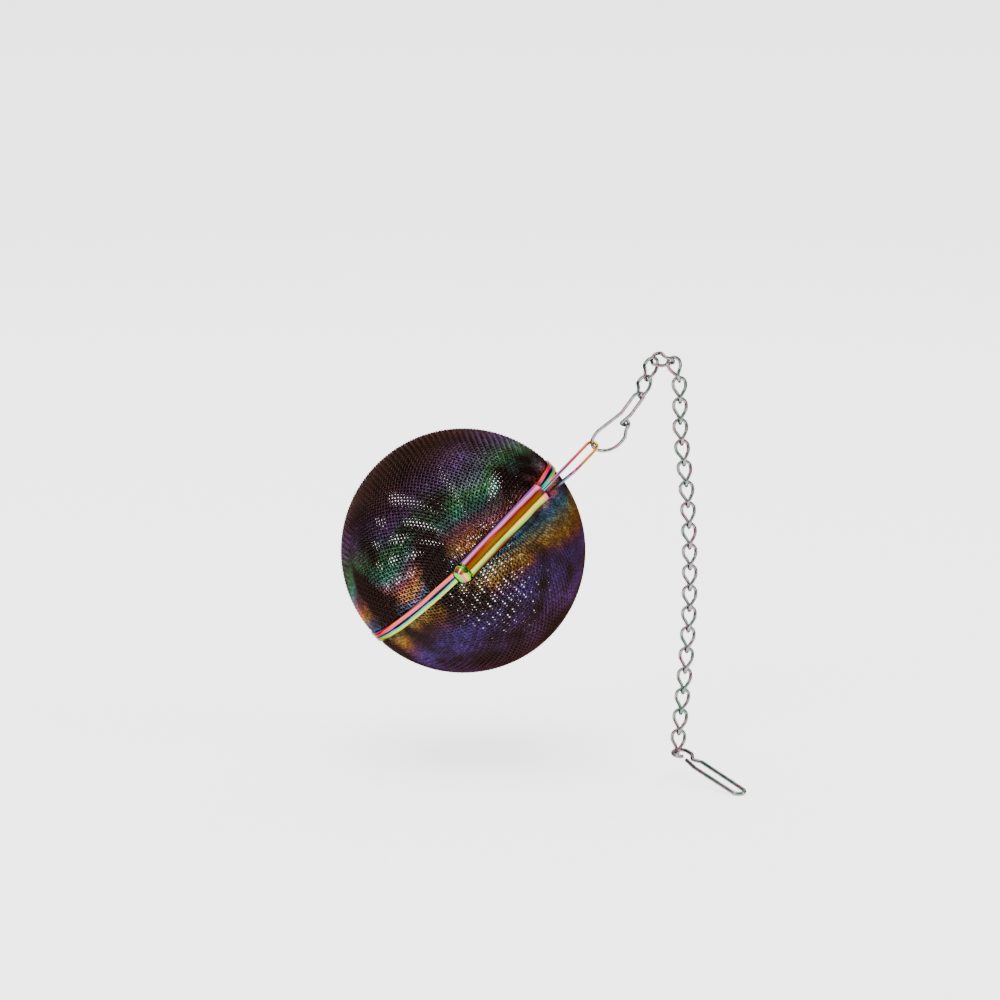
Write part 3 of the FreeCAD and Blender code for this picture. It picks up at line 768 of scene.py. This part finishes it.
def soft_box(name, place, aim, width, height, watts):
    """A rectangular light that faces a point."""
    light = bpy.data.lights.new(name, "AREA")
    light.shape = "RECTANGLE"
    light.size = width
    light.size_y = height
    light.energy = watts
    lamp = bpy.data.objects.new(name, light)
    lamp.location = place
    lamp.rotation_euler = (Vector(aim) - Vector(place)).to_track_quat("-Z", "Y").to_euler()
    bpy.context.scene.collection.objects.link(lamp)
    return lamp


def hang_lights(stage):
    """A large light above, one from the left front and a slim one from the right.

    The room round them is grey, brighter above, with a tall window in front."""
    aim = Vector(stage.aim)
    for name, offset, width, height, watts in LAMPS:
        soft_box(name, aim + Vector(offset), aim, width, height, watts)
    world = bpy.data.worlds.new("studio")
    world.use_nodes = True
    tree = world.node_tree
    place = add_node(tree, "ShaderNodeTexCoord", {}, {}, "Generated")
    height = place.dot((0.0, 0.0, 1.0))
    sides = place.dot((1.0, 0.0, 0.0))
    front = place.dot((0.0, -1.0, 0.0))
    window = (1.0 - (sides + 0.28).absolute() * 7.0).clamp() * (front * 3.0).clamp()
    glow = (height * 1.6).clamp() * 0.7 + window * 0.9
    shade = glow.clamp().ramp([(0.0, (0.07, 0.07, 0.07)), (1.0, (1.0, 1.0, 1.0))], "LINEAR")
    tree.links.new(shade.socket, tree.nodes["Background"].inputs["Color"])
    tree.nodes["Background"].inputs["Strength"].default_value = 0.9
    bpy.context.scene.world = world


def set_camera(stage):
    """A long lens a little above the table, straight from the front."""
    aim = Vector(stage.aim)
    back = Vector((0.0, -math.cos(stage.elevation), math.sin(stage.elevation)))
    camera = bpy.data.cameras.new("front_camera")
    camera.sensor_width = 36.0
    camera.lens = camera.sensor_width * stage.distance / stage.view_width
    camera.clip_start = 0.01
    item = bpy.data.objects.new("front_camera", camera)
    item.location = aim + back * stage.distance
    item.rotation_euler = (-back).to_track_quat("-Z", "Y").to_euler()
    bpy.context.scene.collection.objects.link(item)
    bpy.context.scene.camera = item


class INFUSER_PT_panel(bpy.types.Panel):
    """Sidebar panel with the part's settings and steps"""

    bl_label = "Tea Infuser"
    bl_idname = "INFUSER_PT_panel"
    bl_space_type = "VIEW_3D"
    bl_region_type = "UI"
    bl_category = "Infuser"

    def draw(self, context):
        layout = self.layout
        for group in settings():
            box = layout.box()
            for name in group.__annotations__:
                box.prop(group, name)
        for step in STEPS:
            layout.operator(step.bl_idname)


STEPS = (
    INFUSER_OT_weave_baskets,
    INFUSER_OT_finish_rims,
    INFUSER_OT_finish_hinge,
    INFUSER_OT_finish_latch,
    INFUSER_OT_finish_chain,
    INFUSER_OT_set_stage,
)
GROUPS = {
    "infuser_cloth": InfuserCloth,
    "infuser_colours": InfuserColours,
    "infuser_stage": InfuserStage,
}


def register():
    for name, group in GROUPS.items():
        bpy.utils.register_class(group)
        setattr(bpy.types.Scene, name, bpy.props.PointerProperty(type=group))
    for item in (*STEPS, INFUSER_PT_panel):
        bpy.utils.register_class(item)


def unregister():
    for item in reversed((*STEPS, INFUSER_PT_panel)):
        bpy.utils.unregister_class(item)
    for name, group in GROUPS.items():
        delattr(bpy.types.Scene, name)
        bpy.utils.unregister_class(group)


def main():
    """Runs every step in order."""
    register()
    bpy.ops.infuser.weave_baskets()
    bpy.ops.infuser.finish_rims()
    bpy.ops.infuser.finish_hinge()
    bpy.ops.infuser.finish_latch()
    bpy.ops.infuser.finish_chain()
    bpy.ops.infuser.set_stage()


if __name__ == "__main__":
    main()
